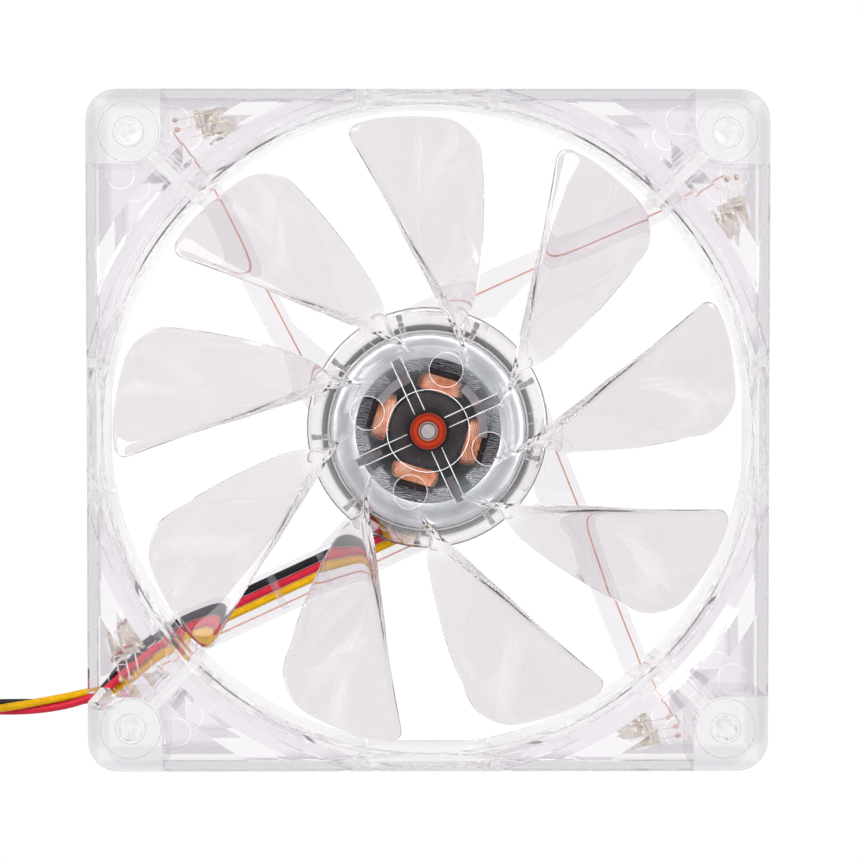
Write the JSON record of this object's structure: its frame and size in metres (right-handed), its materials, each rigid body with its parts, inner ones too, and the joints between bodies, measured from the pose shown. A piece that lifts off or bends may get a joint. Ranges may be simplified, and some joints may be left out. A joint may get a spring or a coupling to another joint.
{
  "type": "case fan",
  "caption": "Square clear case fan: one-piece ducted frame with struts, bladed rotor on a shaft over a wound stator, corner lamps and a coiled lead with plug.",
  "frame": {"origin": "centre of the exhaust face, on the shaft's axis", "axes": "+Z along the shaft from the exhaust face to the intake face, +X and +Y along the sides, the lead leaving toward -X"},
  "size_m": [0.2007, 0.12, 0.025],
  "materials": {
    "clear_plastic": "polished clear",
    "clear_rotor": "polished clear",
    "tube_black": "moulded",
    "bronze": "sintered",
    "white_nylon": "satin",
    "foil": "matte foil",
    "board_green": "solder mask",
    "chip_black": "matte",
    "capacitor_tan": "satin",
    "laminated_steel": "laminated",
    "bobbin_black": "satin",
    "copper_winding": "enamelled copper",
    "guide_natural": "translucent",
    "lamp_clear": "clear epoxy",
    "enamel_wire": "enamelled",
    "wire_black": "satin PVC",
    "wire_red": "satin PVC",
    "wire_yellow": "satin PVC",
    "lead_wires": "satin PVC",
    "tie_black": "satin",
    "plug_white": "satin",
    "contact_gold": "plated",
    "insert_orange": "polished",
    "shaft_steel": "ground",
    "clip_steel": "spring steel",
    "yoke_steel": "zinc plated",
    "magnet_grey": "ferrite"
  },
  "bodies": {
    "housing": {"housing_frame": "clear_plastic", "bearing_tube": "tube_black", "sleeve_bearing": "bronze", "thrust_pad": "white_nylon", "rear_label": "foil", "circuit_board": "board_green", "driver_chip": "chip_black", "smoothing_capacitor": "capacitor_tan", "hall_sensor": "chip_black", "stator_core": "laminated_steel", "bobbin_lower": "bobbin_black", "bobbin_upper": "bobbin_black", "winding_1": "copper_winding", "winding_2": "copper_winding", "winding_3": "copper_winding", "winding_4": "copper_winding", "winding_guide_1": "guide_natural", "winding_guide_2": "guide_natural", "lamp_1": "lamp_clear", "lamp_2": "lamp_clear", "lamp_3": "lamp_clear", "lamp_4": "lamp_clear", "lamp_wire_1": "enamel_wire", "lamp_wire_2": "enamel_wire", "lamp_wire_3": "enamel_wire", "lamp_wire_4": "enamel_wire", "wire_black": "wire_black", "wire_red": "wire_red", "wire_yellow": "wire_yellow", "lead_run": "lead_wires", "lead_coil": "lead_wires", "lead_tail": "lead_wires", "lead_tie": "tie_black", "plug_body": "plug_white", "plug_contact_1": "contact_gold", "plug_contact_2": "contact_gold", "plug_contact_3": "contact_gold"},
    "rotor": {"impeller": "clear_rotor", "hub_insert": "insert_orange", "shaft": "shaft_steel", "retaining_clip": "clip_steel", "slip_washer": "white_nylon", "rotor_yoke": "yoke_steel", "magnet_ring": "magnet_grey"}
  },
  "joints": [
    {"name": "impeller_spin", "type": "hinge", "parent": "housing", "child": "rotor", "pos_m": [0, 0, 0.012], "axis": [0, 0, 1], "continuous": true}
  ]
}
